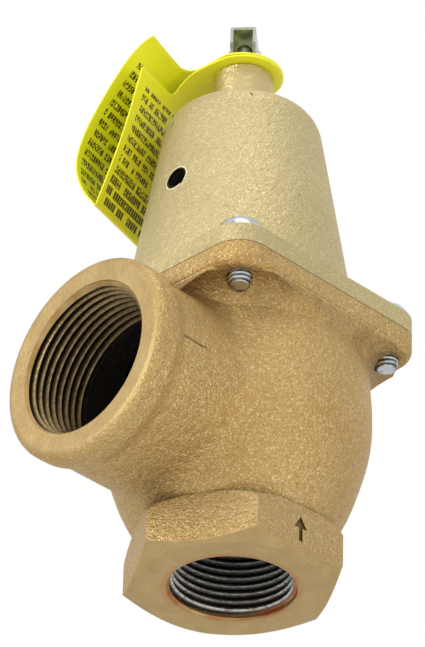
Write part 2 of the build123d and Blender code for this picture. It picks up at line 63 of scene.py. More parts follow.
# ---- measures of the CAD model that the threads and the materials follow ----
HEX_TOP = 14.2 * MM
HEX_FACE_R = 24.0 * MM             # turned inlet face inside the hexagon's chamfer
HEX_CHAMFER_SLOPE = 0.51           # how fast that chamfer rises outwards
HEX_FLAT = math.radians(86.7)      # the way the flat with the arrow faces
HEX_REACH = 25.2 * MM              # from the stem's axis to that flat
ARROW_MASK_HALF = 6.0 * MM         # the arrow's painted shade stays within this of x = 0
ARROW_MASK_LOW = 3.5 * MM
ARROW_MASK_HIGH = 11.0 * MM
OUTLET_RIM_R = 28.5 * MM           # just past the outlet face's outer edge
OUTLET_BORE_R = 21.6 * MM          # just past the outlet's plain bore
FLANGE_BOTTOM = 69.0 * MM
BOWL_BELLY = 58.0 * MM             # where the shade under the flange begins
BOWL_SHOULDER = 66.0 * MM          # where it is full
# (height, radius) of a line inside the bowl's wall, in decimetres, from the inlet face up
BOWL_WALL = ((0.0, 0.0), (0.19, 0.215), (0.24, 0.25), (0.32, 0.285), (0.42, 0.31), (0.60, 0.315),
             (0.70, 0.30), (1.0, 0.30))
METRES_TO_DECIMETRES = 10.0
SCRATCH_Z = 43.15 * MM
SCRATCH_START_X = 36.9 * MM
SCRATCH_END_X = 45.8 * MM

BONNET_FLOOR = 81.5 * MM           # the bonnet's hollow, from here
BONNET_CEILING = 138.4 * MM        # up to here
BONNET_SKIN_R = 43.0 * MM          # radius that the cone just inside its skin would have at z = 0
BONNET_SLOPE = 0.1667              # how fast that cone narrows upwards
NECK_FOOT = NECK_TOP - 12.9 * MM
NICK_X = 13.1 * MM
NICK_Z = 137.8 * MM
VENT_Z = 112.0 * MM
VENT_TURN = math.radians(1.8)
VENT_MOUTH_R = 3.3 * MM

SCREW_ROOT_R = 2.55 * MM
SCREW_OFFSET = 27.35 * MM          # each screw's x and y, plus or minus
LEVER_AZIMUTH = math.radians(220)
LEVER_INNER_HALF = 2.70 * MM       # just over half the gap between the lever's cheeks

# ---- threads ----
PIPE_PITCH = 25.4 * MM / 11.5
PIPE_TAPER = 1 / 32
SCREW_PITCH = 25.4 * MM / 20
INLET_MOUTH_R = 16.75 * MM
OUTLET_MOUTH_R = 21.2 * MM
INLET_THREAD_LENGTH = 18.4 * MM
OUTLET_THREAD_LENGTH = 18.9 * MM
PIPE_THREAD_START = 0.22 * MM      # depth at which the threads begin
PIPE_ROOT_INSIDE = 0.08 * MM       # how far the root at the face lies inside the CAD bore's wall
PIPE_LEAST_INSIDE = 0.02 * MM      # the least that any of the thread does
PIPE_BACK_OUTSIDE = 0.04 * MM      # how far the sleeve's plain back lies behind that wall
SCREW_THREAD_START = 0.25 * MM     # above the tip
SCREW_THREAD_LENGTH = 4.6 * MM
SCREW_THREAD_HEIGHT = 0.50 * MM
SCREW_RUN_IN_SLOPE = 0.9
# one turn of a thread's profile: (part of the pitch, part of the height)
THREAD_SHAPE = ((0.00, 0.0), (0.08, 0.0), (0.42, 1.0), (0.58, 1.0), (0.92, 0.0))
THREAD_COLUMNS = 144
CREASE = math.radians(25)          # edges sharper than this stay sharp
WELD = 0.002 * MM
LEVEL = 1e-7                       # how near a thread's end plane counts as on it, in metres
SLIVER_AREA = 1e-13                # smallest face of a thread that is kept, in square metres

# ---- tag ----
TAG_AZIMUTH = math.radians(-75)
TAG_THICK = 0.45 * MM
TAG_HALF_WIDTH = 21.0 * MM
TAG_SHOULDER_HALF = 23.6 * MM
TAG_CORNER_R = 0.35 * MM
TAG_GRID = 1.2 * MM
STRAP_HALF_WIDTH = 10.6 * MM
STRAP_NECK_HALF = 7.4 * MM
STRAP_HOLE_R = 6.6 * MM
STRAP_FILLET_R = 2.2 * MM
STRAP_TAIL = 13.0 * MM             # how far each leaf's line runs past the stem's axis
INNER_STRAP = 19.6 * MM            # from each leaf's shoulder to its hole's centre
OUTER_STRAP = 14.6 * MM
INNER_SAG = 0.8 * MM               # how far the inner leaf's long edges curl
OUTER_CURL = 1.6 * MM              # the same for the outer leaf, near its shoulder
OUTER_CURL_REACH = 24 * MM
# each leaf's bent line from the fold up to the neck: (distance from the stem, height) in millimetres
FOLD = (32.4, 113.6)
INNER_ROUTE = (FOLD, (24.2, 135.2), (18.0, 151.6), (14.2, 155.9))
OUTER_ROUTE = (FOLD, (36.6, 120.3), (38.3, 128.5), (35.4, 137.6), (28.4, 147.6), (20.6, 156.0),
               (14.6, 159.4))
STRAP_ROUTE_START = 9.0 * MM       # where each line comes level over the neck
SPAN_STEPS = 24                    # samples between two points of a line
STRAP_END_STEPS = 24
HOLE_STEPS = 48
CORNER_STEPS = 6
INNER_STRAP_ABOVE_NECK = 0.40 * MM
OUTER_STRAP_ABOVE_NECK = 1.05 * MM

# ---- the tag's print: u runs across the sheet and v along it from the fold ----
PRINT_PITCH = 3.1 * MM
PRINT_OFFSET = 1.5 * MM
LETTER_PITCH = 1.05 * MM
BOLD_MIDDLE = 7.0 * MM
BOLD_HALF = 5.0 * MM
PRINT_LOW = -50.0 * MM
PRINT_HIGH = 37.5 * MM
FOLD_MARGIN = 1.6 * MM
STRAIGHT_MARGIN = 19.8 * MM
RAGGED_MARGIN = -19.0 * MM
RAGGED_DEPTH = 3.5 * MM


# ---- small node helpers ----
class Shader:
    """A material's node tree, with one-line makers for the nodes used here. Noise scales are per metre."""

    def __init__(self, name):
        self.material = bpy.data.materials.new(name)
        self.material.use_nodes = True
        self.tree = self.material.node_tree
        self.bsdf = self.tree.nodes["Principled BSDF"]
        self.place = self.node("ShaderNodeTexCoord").outputs["Object"]

    def node(self, kind):
        return self.tree.nodes.new(kind)

    def link(self, source, target):
        self.tree.links.new(source, target)

    def feed(self, socket, value):
        if isinstance(value, bpy.types.NodeSocket):
            self.link(value, socket)
        else:
            socket.default_value = value

    def noise(self, scale, detail=3.0, roughness=0.5, distortion=0.0):
        node = self.node("ShaderNodeTexNoise")
        node.inputs["Scale"].default_value = scale
        node.inputs["Detail"].default_value = detail
        node.inputs["Roughness"].default_value = roughness
        node.inputs["Distortion"].default_value = distortion
        self.link(self.place, node.inputs["Vector"])
        return node.outputs["Fac"]

    def glints(self, scale):
        """0 on most small cells, and up to 1 on the rest, picked at random. The bronzes paint these cells
        bright, as painted glints, and make them smoother.
        """
        node = self.node("ShaderNodeTexVoronoi")
        node.inputs["Scale"].default_value = scale
        self.link(self.place, node.inputs["Vector"])
        return self.step(self.split(node.outputs["Color"])[0], 0.70, 1.0)

    def math(self, operation, a, b=0.0):
        node = self.node("ShaderNodeMath")
        node.operation = operation
        self.feed(node.inputs[0], a)
        self.feed(node.inputs[1], b)
        return node.outputs[0]

    def times(self, first, *others):
        product = first
        for value in others:
            product = self.math("MULTIPLY", product, value)
        return product

    def plus(self, a, b):
        return self.math("ADD", a, b)

    def minus(self, a, b):
        return self.math("SUBTRACT", a, b)

    def apart(self, a, b):
        return self.math("ABSOLUTE", self.minus(a, b))

    def above(self, value, limit):
        return self.math("GREATER_THAN", value, limit)

    def below(self, value, limit):
        return self.math("LESS_THAN", value, limit)

    def length(self, a, b):
        return self.math("SQRT", self.plus(self.times(a, a), self.times(b, b)))

    def step(self, value, start, end):
        """0 at the start, 1 at the end and straight between. The start may be the higher of the two."""
        node = self.node("ShaderNodeMapRange")
        node.inputs["From Min"].default_value = start
        node.inputs["From Max"].default_value = end
        self.link(value, node.inputs["Value"])
        return node.outputs["Result"]

    def mix(self, factor, a, b):
        node = self.node("ShaderNodeMix")
        node.data_type = "RGBA"
        self.feed(node.inputs["Factor"], factor)
        self.feed(node.inputs["A"], full(a))
        self.feed(node.inputs["B"], full(b))
        return node.outputs["Result"]

    def paint(self, color, where, strength, over):
        """The first colour with another laid over it, where the mask is 1, at the given strength."""
        return self.mix(self.times(where, strength), color, over)

    def split(self, vector=None):
        node = self.node("ShaderNodeSeparateXYZ")
        self.link(vector or self.place, node.inputs[0])
        return node.outputs

    def bump(self, height, distance, strength=1.0, under=None):
        node = self.node("ShaderNodeBump")
        node.inputs["Distance"].default_value = distance
        self.feed(node.inputs["Strength"], strength)
        self.link(height, node.inputs["Height"])
        if under:
            self.link(under, node.inputs["Normal"])
        return node.outputs["Normal"]

    def finish(self, color, roughness, metallic, normal=None):
        self.feed(self.bsdf.inputs["Base Color"], color)
        self.feed(self.bsdf.inputs["Roughness"], roughness)
        self.feed(self.bsdf.inputs["Metallic"], metallic)
        if normal:
            self.link(normal, self.bsdf.inputs["Normal"])
        return self.material


def full(color):
    """A colour, a grey given as one number, or a socket, as a colour socket takes it."""
    if isinstance(color, float):
        return (color, color, color, 1.0)
    if isinstance(color, tuple):
        return (*color, 1.0)
    return color


def srgb(red, green, blue):
    """A linear colour from 0-255 display values."""
    def one(v):
        v /= 255
        return v / 12.92 if v <= 0.04045 else ((v + 0.055) / 1.055) ** 2.4
    return (one(red), one(green), one(blue))


# ---- masks and marks on the castings ----
def from_axis(s, stem=True):
    """Distance from the stem's axis, or from the outlet's."""
    x, y, z = s.split()
    if stem:
        return s.length(x, y)
    return s.length(y, s.minus(z, OUTLET_Z))


def cast_grain(s, size, depth, strength):
    """Bump like a sand casting's skin: rounded grains of the given size, with a coarser swell under them."""
    swell = s.bump(s.noise(0.25 / size, detail=2.0), 1.6 * depth, strength)
    grains = s.noise(1.0 / size, detail=2.5, roughness=0.55)
    return grains, s.bump(grains, depth, strength, swell)


def joint_line(s, color, z):
    """The thin dark line where the bonnet's flange meets the body's."""
    near = s.step(s.apart(z, JOINT_Z), 0.30 * MM, 0.12 * MM)
    return s.paint(color, near, 0.55, srgb(84, 66, 38))


def turned_faces(s, x, z, stem_r, outlet_r):
    """1 on the outlet's turned face, and on the inlet's with the chamfer round it."""
    outlet_face = s.times(s.step(x, OUTLET_FACE_X - 0.7 * MM, OUTLET_FACE_X - 0.2 * MM),
                          s.step(outlet_r, OUTLET_RIM_R + 0.5 * MM, OUTLET_RIM_R))
    past_face = s.math("MAXIMUM", s.minus(stem_r, HEX_FACE_R), 0.0)
    over_cone = s.minus(z, s.times(past_face, HEX_CHAMFER_SLOPE))
    inlet_face = s.step(over_cone, 0.40 * MM, 0.15 * MM)
    return s.math("MAXIMUM", outlet_face, inlet_face)


def flange_shade(s, z):
    """Patches of shade on the bowl's shoulder, under the flange."""
    height = s.times(s.step(z, BOWL_BELLY, BOWL_SHOULDER), s.below(z, FLANGE_BOTTOM + 0.4 * MM))
    return s.times(height, s.step(s.noise(110), 0.30, 0.62))


def mouth_stain(s, z, stem_r):
    """Patches of stain on the inlet face, round its mouth."""
    ring = s.times(s.step(stem_r, INLET_MOUTH_R + 1.85 * MM, INLET_MOUTH_R + 0.15 * MM),
                   s.step(z, 0.5 * MM, 0.1 * MM))
    return s.times(ring, s.step(s.noise(150, detail=4.0), 0.38, 0.62))


def recess_shade(s):
    """1 deep in corners and recesses, from ambient occlusion, where painted shade darkens the bronze."""
    node = s.node("ShaderNodeAmbientOcclusion")
    node.inputs["Distance"].default_value = 9 * MM
    node.samples = 8
    return s.step(node.outputs["AO"], 0.84, 0.34)


def arrow_floor_shade(s, x, y, z, stem_r):
    """1 down in the arrow that is sunk in one flat of the hexagon, where painted shade darkens it."""
    reach = s.plus(s.times(x, math.cos(HEX_FLAT)), s.times(y, math.sin(HEX_FLAT)))
    depth = s.times(s.step(reach, HEX_REACH - 0.15 * MM, HEX_REACH - 0.35 * MM),
                    s.step(reach, HEX_REACH - 0.8 * MM, HEX_REACH - 0.7 * MM))
    sideways = s.times(s.above(stem_r, HEX_FACE_R), s.below(s.math("ABSOLUTE", x), ARROW_MASK_HALF))
    return s.times(depth, sideways, s.below(z, ARROW_MASK_HIGH), s.above(z, ARROW_MASK_LOW))


def scratch(s, x, y, z):
    """A thin wavering scratch along the side of the outlet's boss."""
    wave = s.times(s.minus(s.noise(700, detail=2.0), 0.5), 0.9 * MM)
    off_line = s.apart(s.minus(z, SCRATCH_Z), wave)
    line = s.times(s.step(off_line, 0.36 * MM, 0.16 * MM), s.above(y, 20 * MM))
    ends = s.times(s.step(x, SCRATCH_START_X, SCRATCH_START_X + 0.5 * MM),
                   s.step(x, SCRATCH_END_X, SCRATCH_END_X - 0.6 * MM))
    return s.times(line, ends)


def body_inside_shade(s, x, z, stem_r, outlet_r):
    """1 on the walls inside the bowl and in the outlet branch behind the thread, which get painted shade."""
    wall = s.node("ShaderNodeFloatCurve")
    curve = wall.mapping.curves[0]
    curve.points[0].location = BOWL_WALL[0]
    curve.points[1].location = BOWL_WALL[-1]
    for point in BOWL_WALL[1:-1]:
        curve.points.new(*point)
    wall.mapping.update()
    s.link(s.times(z, METRES_TO_DECIMETRES), wall.inputs["Value"])
    bowl = s.times(s.below(s.times(stem_r, METRES_TO_DECIMETRES), wall.outputs["Value"]),
                   s.above(z, INLET_THREAD_LENGTH + 0.3 * MM))
    branch = s.times(s.below(outlet_r, OUTLET_BORE_R),
                     s.below(x, OUTLET_FACE_X - OUTLET_THREAD_LENGTH), s.above(x, 0.0))
    return s.math("MAXIMUM", bowl, branch)


def nick(s, x, y, z):
    """A small dark nick on the bonnet's shoulder."""
    mark = s.times(s.step(s.apart(z, NICK_Z), 0.75 * MM, 0.60 * MM),
                   s.step(s.apart(x, NICK_X), 0.30 * MM, 0.16 * MM))
    return s.times(mark, s.above(y, 0.0))


def vent_highlight_and_shade(s, x, y, z):
    """The painted highlight round the vent hole's bright deburred edge, and the painted shade down in its
    mouth.
    """
    sideways = s.minus(s.times(y, math.cos(VENT_TURN)), s.times(x, math.sin(VENT_TURN)))
    vent_r = s.length(sideways, s.minus(z, VENT_Z))
    front = s.above(x, 0.0)
    rim = s.times(s.step(vent_r, VENT_MOUTH_R + 0.50 * MM, VENT_MOUTH_R + 0.25 * MM), front)
    mouth_shade = s.times(s.step(vent_r, VENT_MOUTH_R + 0.10 * MM, VENT_MOUTH_R - 0.05 * MM), front)
    return rim, mouth_shade


def bonnet_inside_shade(s, z):
    """1 on the walls of the bonnet's hollow, which get painted shade."""
    skin = s.plus(from_axis(s), s.times(z, BONNET_SLOPE))
    return s.times(s.below(skin, BONNET_SKIN_R), s.below(z, BONNET_CEILING), s.above(z, BONNET_FLOOR))


# ---- materials ----
def cast_bronze():
    """Sand-cast bronze: coarse glittering grain with painted glints, warm stains, smoother turned faces,
    painted shade in recesses, in the sunk arrow and inside.
    """
    s = Shader("cast_bronze")
    x, y, z = s.split()
    stem_r = from_axis(s)
    outlet_r = from_axis(s, stem=False)
    turned = turned_faces(s, x, z, stem_r, outlet_r)
    inside = body_inside_shade(s, x, z, stem_r, outlet_r)
    grain, normal = cast_grain(s, 0.52 * MM, 0.32 * MM, s.minus(1.0, s.times(turned, 0.60)))
    glints = s.glints(2900)
    stain = s.step(s.noise(22, detail=2.0, distortion=0.4), 0.50, 0.72)
    color = s.mix(s.step(s.noise(38), 0.35, 0.65), srgb(188, 154, 92), srgb(196, 164, 104))
    color = s.paint(color, stain, 0.45, srgb(192, 144, 76))
    color = s.paint(color, s.step(grain, 0.54, 0.36), 0.34, srgb(132, 102, 58))
    # painted highlight: bright glint specks laid into the colour
    color = s.paint(color, glints, 0.48, srgb(242, 223, 176))
    color = s.paint(color, s.below(z, HEX_TOP), 0.22, srgb(150, 134, 104))
    color = s.paint(color, flange_shade(s, z), 0.5, srgb(128, 96, 52))
    cut = s.mix(s.step(s.noise(160, detail=5.0), 0.35, 0.70), srgb(178, 151, 101), srgb(193, 168, 116))
    color = s.paint(color, turned, 0.78, cut)
    color = s.paint(color, mouth_stain(s, z, stem_r), 0.7, srgb(176, 104, 60))
    # painted shade, darker deep in corners and recesses
    color = s.paint(color, recess_shade(s), 0.80, srgb(104, 74, 38))
    # painted shade down in the sunk arrow
    color = s.paint(color, arrow_floor_shade(s, x, y, z, stem_r), 0.8, srgb(92, 66, 34))
    color = s.paint(color, scratch(s, x, y, z), 0.75, srgb(70, 48, 24))
    color = joint_line(s, color, z)
    # painted shade: the walls inside the body are painted near black
    color = s.mix(inside, color, srgb(34, 28, 20))
    rough = s.mix(turned, s.mix(glints, 0.50, 0.34), 0.54)
    rough = s.mix(inside, rough, 0.8)
    return s.finish(color, rough, s.mix(inside, 0.75, 0.2), normal)


def blasted_bronze():
    """The bonnet: paler bronze with a fine, even, blasted grain and painted glints, painted shade inside the
    vent and the hollow, a painted highlight round the vent.
    """
    s = Shader("blasted_bronze")
    x, y, z = s.split()
    neck = s.step(z, NECK_FOOT - 0.5 * MM, NECK_FOOT + 1.0 * MM)
    inside = bonnet_inside_shade(s, z)
    rim, mouth_shade = vent_highlight_and_shade(s, x, y, z)
    grain, normal = cast_grain(s, 0.48 * MM, 0.20 * MM, s.minus(1.0, s.times(neck, 0.4)))
    glints = s.glints(3200)
    dings = s.step(s.noise(260, detail=1.0), 0.25, 0.21)
    color = s.mix(s.step(s.noise(30), 0.30, 0.70), srgb(188, 171, 122), srgb(200, 184, 136))
    color = s.paint(color, s.step(grain, 0.52, 0.34), 0.27, srgb(150, 130, 84))
    # painted highlight: bright glint specks laid into the colour
    color = s.paint(color, glints, 0.40, srgb(246, 234, 196))
    color = s.paint(color, neck, 0.6, srgb(214, 192, 136))
    color = s.paint(color, nick(s, x, y, z), 0.8, srgb(84, 62, 44))
    color = s.paint(color, dings, 0.6, srgb(130, 100, 70))
    color = joint_line(s, color, z)
    # painted highlight round the vent's edge, then painted shade in its mouth
    color = s.paint(color, rim, 0.75, srgb(250, 244, 206))
    color = s.mix(mouth_shade, color, srgb(40, 30, 12))
    # painted shade: the walls of the bonnet's hollow are painted dark
    color = s.mix(inside, color, srgb(44, 42, 40))
    rough = s.mix(neck, s.mix(glints, 0.54, 0.40), 0.34)
    return s.finish(color, rough, s.mix(inside, 0.78, 0.1), normal)


def thread_metal(name, crest, root, crest_r, root_r, inlet):
    """Cut thread: bright worn crests lightened further by a painted highlight, over roots darkened by
    painted shade, more of it deeper in the port, with a bronze run-in cone stained at the inlet.
    """
    s = Shader(name)
    x, _, z = s.split()
    depth = z if inlet else s.minus(OUTLET_FACE_X, x)
    height = s.step(from_axis(s, stem=inlet), root_r, crest_r)
    chatter = s.noise(900)
    # painted highlight on the crests and painted shade in the roots
    color = s.mix(s.step(height, 0.45, 0.98), root, crest)
    color = s.paint(color, s.step(chatter, 0.45, 0.66), 0.40, root)
    rust = s.times(s.step(s.noise(330, detail=4.0), 0.54, 0.64), s.step(depth, 9.0 * MM, 3.0 * MM))
    color = s.paint(color, rust, 0.55 if inlet else 0.2, srgb(112, 66, 36))
    # painted shade: deeper in the port the colour is pulled towards the roots' dark
    color = s.mix(s.step(depth, 16.0 * MM, 4.0 * MM), s.mix(0.55, color, root), color)
    run_in_start, run_in_end = (1.9 * MM, 1.5 * MM) if inlet else (1.35 * MM, 1.05 * MM)
    run_in = s.step(depth, run_in_start, run_in_end)
    run_in_stain = srgb(178, 112, 66) if inlet else srgb(166, 132, 82)
    cone = s.mix(s.step(s.noise(150, detail=4.0), 0.38, 0.62), srgb(184, 158, 108), run_in_stain)
    color = s.mix(run_in, color, cone)
    rough = s.mix(run_in, s.mix(height, 0.58, 0.30), 0.6)
    return s.finish(color, rough, 0.9, s.bump(chatter, 0.08 * MM))


def bright_zinc():
    """Zinc-plated screws, with dark grooves where the thread shows on their tips."""
    s = Shader("bright_zinc")
    x, y, z = s.split()
    screw_r = s.length(s.minus(s.math("ABSOLUTE", x), SCREW_OFFSET),
                       s.minus(s.math("ABSOLUTE", y), SCREW_OFFSET))
    groove = s.times(s.step(screw_r, SCREW_ROOT_R + 0.36 * MM, SCREW_ROOT_R + 0.10 * MM),
                     s.below(z, JOINT_Z), s.above(z, SCREW_TIP_Z + 0.2 * MM))
    tarnish = s.step(s.noise(420, detail=4.0), 0.50, 0.64)
    color = s.mix(s.noise(700, detail=4.0), srgb(178, 184, 192), srgb(222, 226, 232))
    color = s.paint(color, tarnish, 0.5, srgb(112, 108, 98))
    color = s.paint(color, groove, 0.85, srgb(66, 62, 54))
    return s.finish(color, s.mix(s.noise(300), 0.18, 0.38), 1.0, s.bump(s.noise(1400), 0.04 * MM))


def lever_plate():
    """Plated channel, bright outside; inside, a duller olive plate tone tinted yellow as a painted
    reflection of the tag.
    """
    s = Shader("lever_plate")
    x, y, z = s.split()
    streak = s.noise(260, detail=5.0, roughness=0.7)
    worn = s.step(s.noise(160, detail=4.0), 0.52, 0.66)
    across = s.plus(s.times(x, -math.sin(LEVER_AZIMUTH)), s.times(y, math.cos(LEVER_AZIMUTH)))
    inner = s.times(s.below(s.math("ABSOLUTE", across), LEVER_INNER_HALF), s.below(z, LEVER_TOP - 0.7 * MM))
    # painted reflection: the inside of the channel is tinted yellow-olive for the yellow tag seen in it
    dull_tone_and_tag_reflection = s.mix(s.step(s.noise(240), 0.40, 0.60), srgb(150, 162, 120), srgb(206, 208, 140))
    color = s.mix(streak, srgb(142, 144, 136), srgb(196, 198, 190))
    color = s.paint(color, worn, 0.5, srgb(92, 90, 78))
    color = s.mix(inner, color, dull_tone_and_tag_reflection)
    rough = s.mix(inner, s.mix(worn, 0.16, 0.35), 0.34)
    return s.finish(color, rough, s.mix(inner, 1.0, 0.55), s.bump(streak, 0.03 * MM))


def turned_brass():
    s = Shader("turned_brass")
    marks = s.noise(400, detail=4.0)
    color = s.mix(marks, srgb(176, 140, 72), srgb(206, 172, 100))
    return s.finish(color, s.mix(marks, 0.28, 0.45), 1.0, s.bump(marks, 0.03 * MM))


def turned_steel():
    s = Shader("turned_steel")
    marks = s.noise(500, detail=4.0)
    color = s.mix(marks, srgb(140, 140, 138), srgb(178, 178, 176))
    return s.finish(color, s.mix(marks, 0.25, 0.42), 1.0, s.bump(marks, 0.02 * MM))


def rubber():
    s = Shader("black_rubber")
    grain = s.noise(900)
    color = s.mix(grain, srgb(18, 18, 18), srgb(34, 34, 33))
    return s.finish(color, s.mix(grain, 0.65, 0.85), 0.0, s.bump(grain, 0.04 * MM))


def random_cells(s, a, b, seed):
    """One random number for each whole part of a and b."""
    pack = s.node("ShaderNodeCombineXYZ")
    s.link(s.math("FLOOR", a), pack.inputs[0])
    s.link(s.math("FLOOR", b), pack.inputs[1])
    pack.inputs[2].default_value = seed
    node = s.node("ShaderNodeTexWhiteNoise")
    node.noise_dimensions = "3D"
    s.link(pack.outputs[0], node.inputs["Vector"])
    return node.outputs["Value"]


def print_ink(s, u, v):
    """1 on the tag's print: rows of short strokes broken at random, with a bold stretch near the fold."""
    row = s.math("DIVIDE", s.plus(v, PRINT_OFFSET), PRINT_PITCH)
    within_row = s.math("FRACT", row)
    bold = s.below(s.apart(v, BOLD_MIDDLE), BOLD_HALF)
    foot = s.minus(0.22, s.times(bold, 0.10))
    band = s.times(s.above(within_row, foot), s.below(within_row, 0.84))
    letter = s.plus(s.math("DIVIDE", u, LETTER_PITCH), s.times(s.math("FLOOR", row), 0.37))
    word = s.above(random_cells(s, letter, row, 1.0), 0.10)
    inside_letter = s.above(s.math("FRACT", letter), 0.16)
    strokes = random_cells(s, s.times(letter, 3.0), s.times(row, 6.0), 2.0)
    strokes = s.above(strokes, s.minus(0.24, s.times(bold, 0.20)))
    ragged = s.plus(RAGGED_MARGIN, s.times(random_cells(s, row, row, 3.0), RAGGED_DEPTH))
    margins = s.times(s.below(u, STRAIGHT_MARGIN), s.above(u, ragged))
    block = s.times(s.above(v, PRINT_LOW), s.below(v, PRINT_HIGH))
    zone = s.times(block, s.above(s.math("ABSOLUTE", v), FOLD_MARGIN))
    return s.times(s.times(band, word), s.times(inside_letter, strokes), s.times(margins, zone))


def tag_plastic():
    """Yellow plastic sheet, printed. Its UV map is the flat sheet in metres."""
    s = Shader("tag_sheet")
    flat = s.node("ShaderNodeUVMap")
    flat.uv_map = "flat"
    u, v, _ = s.split(flat.outputs["UV"])
    worn = s.step(s.noise(420, detail=4.0), 0.20, 0.34)
    sheet = s.mix(s.noise(60), srgb(236, 236, 22), srgb(250, 248, 54))
    color = s.paint(sheet, s.times(print_ink(s, u, v), worn), 0.95, srgb(58, 52, 28))
    return s.finish(color, 0.42, 0.0, s.bump(s.noise(800, detail=2.0), 0.02 * MM))


# ---- mesh helpers ----
def add_object(name, data):
    obj = bpy.data.objects.new(name, data)
    bpy.context.scene.collection.objects.link(obj)
    return obj


def smooth_faces(mesh):
    for polygon in mesh.polygons:
        polygon.use_smooth = True


def sharpen(obj):
    """Keeps creased edges sharp under smooth shading."""
    mesh = bmesh.new()
    mesh.from_mesh(obj.data)
    for edge in mesh.edges:
        edge.smooth = edge.calc_face_angle(0.0) < CREASE
    mesh.to_mesh(obj.data)
    mesh.free()


# ---- threads ----
def thread_sleeve(name, start, end, pitch, back_r, surface, place, material):
    """A helical thread as a closed ring-shaped solid.

    surface(z, height) gives the radius where height runs from 0 in the root to 1 on the crest, and
    back_r is the plain cylinder behind it. z runs from start to end along the thread's own axis.
    """
    turns = int((end - start) / pitch) + 3
    rows = [(k + part, height) for k in range(-1, turns) for part, height in THREAD_SHAPE]
    points = []
    for row, height in rows:
        for a in range(THREAD_COLUMNS):
            share = a / THREAD_COLUMNS
            z = start + (row + share) * pitch
            if z <= start or z >= end:
                z = min(max(z, start), end)
                height_here = thread_height(((z - start) / pitch - share) % 1.0)
            else:
                height_here = height
            r = surface(z, height_here)
            angle = 2 * math.pi * share
            points.append((r * math.cos(angle), r * math.sin(angle), z))
    mesh = bpy.data.meshes.new(name)
    mesh.from_pydata(points, [], helix_faces(len(rows)))
    obj = add_object(name, mesh)
    close_sleeve(obj, start, end, back_r)
    mesh.materials.append(material)
    smooth_faces(mesh)
    sharpen(obj)
    mesh.transform(place)
    return obj


def helix_faces(rows):
    """Faces of the helical sheet, whose last column joins the first one a turn further up."""
    turn = len(THREAD_SHAPE)
    last = THREAD_COLUMNS - 1
    faces = []
    for k in range(rows - 1):
        here = k * THREAD_COLUMNS
        above = here + THREAD_COLUMNS
        for a in range(last):
            faces.append((here + a, here + a + 1, above + a + 1, above + a))
        if k + 1 + turn < rows:
            rise = turn * THREAD_COLUMNS
            faces.append((here + last, here + rise, above + rise, above + last))
    return faces


def thread_height(part):
    """Part of the thread's height at a part of its pitch."""
    shape = (*THREAD_SHAPE, (1.0, 0.0))
    for (p0, h0), (p1, h1) in zip(shape, shape[1:]):
        if p0 <= part <= p1:
            return h0 + (h1 - h0) * (part - p0) / (p1 - p0)
    return 0.0


def close_sleeve(obj, start, end, back_r):
    """Welds the helical sheet, trims the flattened overlap at its ends, and gives it a plain back."""
    mesh = bmesh.new()
    mesh.from_mesh(obj.data)
    bmesh.ops.remove_doubles(mesh, verts=mesh.verts, dist=WELD)
    flat = [face for face in mesh.faces
            if face.calc_area() < SLIVER_AREA or lies_at(face, start) or lies_at(face, end)]
    bmesh.ops.delete(mesh, geom=flat, context="FACES")
    loose = [vert for vert in mesh.verts if not vert.link_faces]
    bmesh.ops.delete(mesh, geom=loose, context="VERTS")
    made = bmesh.ops.extrude_edge_only(mesh, edges=open_edges(mesh))["geom"]
    for vert in made:
        if isinstance(vert, bmesh.types.BMVert):
            stretch = back_r / math.hypot(vert.co.x, vert.co.y)
            vert.co.x *= stretch
            vert.co.y *= stretch
    bmesh.ops.bridge_loops(mesh, edges=open_edges(mesh))
    bmesh.ops.recalc_face_normals(mesh, faces=mesh.faces)
    mesh.to_mesh(obj.data)
    mesh.free()


def lies_at(face, z):
    return all(abs(vert.co.z - z) < LEVEL for vert in face.verts)


def open_edges(mesh):
    return [edge for edge in mesh.edges if edge.is_boundary]


def pipe_thread(name, root_r, crest_height, mouth_r, mouth_depth, length, place, material):
    """Tapered female pipe thread that runs out into the mouth's chamfer. z is the depth from the face."""
    face_root_r = root_r - PIPE_ROOT_INSIDE
    lean = (mouth_r - (face_root_r - crest_height)) / mouth_depth

    def surface(z, height):
        thread_r = face_root_r - z * PIPE_TAPER - height * crest_height
        chamfer_r = mouth_r - z * lean
        return min(max(thread_r, chamfer_r), root_r - PIPE_LEAST_INSIDE)

    sleeve = thread_sleeve(name, PIPE_THREAD_START, length, PIPE_PITCH, root_r + PIPE_BACK_OUTSIDE,
                           surface, place, material)
    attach(sleeve, "valve")


def port_threads():
    # the crest colours carry a painted highlight and the root colours a painted shade
    inlet_metal = thread_metal("inlet_thread_metal", srgb(212, 210, 204), srgb(52, 47, 38),
                               crest_r=15.25 * MM, root_r=16.5 * MM, inlet=True)
    outlet_metal = thread_metal("outlet_thread_metal", srgb(176, 152, 106), srgb(44, 35, 22),
                                crest_r=20.0 * MM, root_r=20.9 * MM, inlet=False)
    pipe_thread("inlet_thread", INLET_ROOT_R, crest_height=1.30 * MM,
                mouth_r=INLET_MOUTH_R, mouth_depth=2.0 * MM, length=INLET_THREAD_LENGTH,
                place=Matrix.Identity(4), material=inlet_metal)
    out_of_port = Matrix.Translation((OUTLET_FACE_X, 0, OUTLET_Z)) @ Matrix.Rotation(-math.pi / 2, 4, "Y")
    pipe_thread("outlet_thread", OUTLET_ROOT_R, crest_height=1.15 * MM,
                mouth_r=OUTLET_MOUTH_R, mouth_depth=1.3 * MM, length=OUTLET_THREAD_LENGTH,
                place=out_of_port, material=outlet_metal)


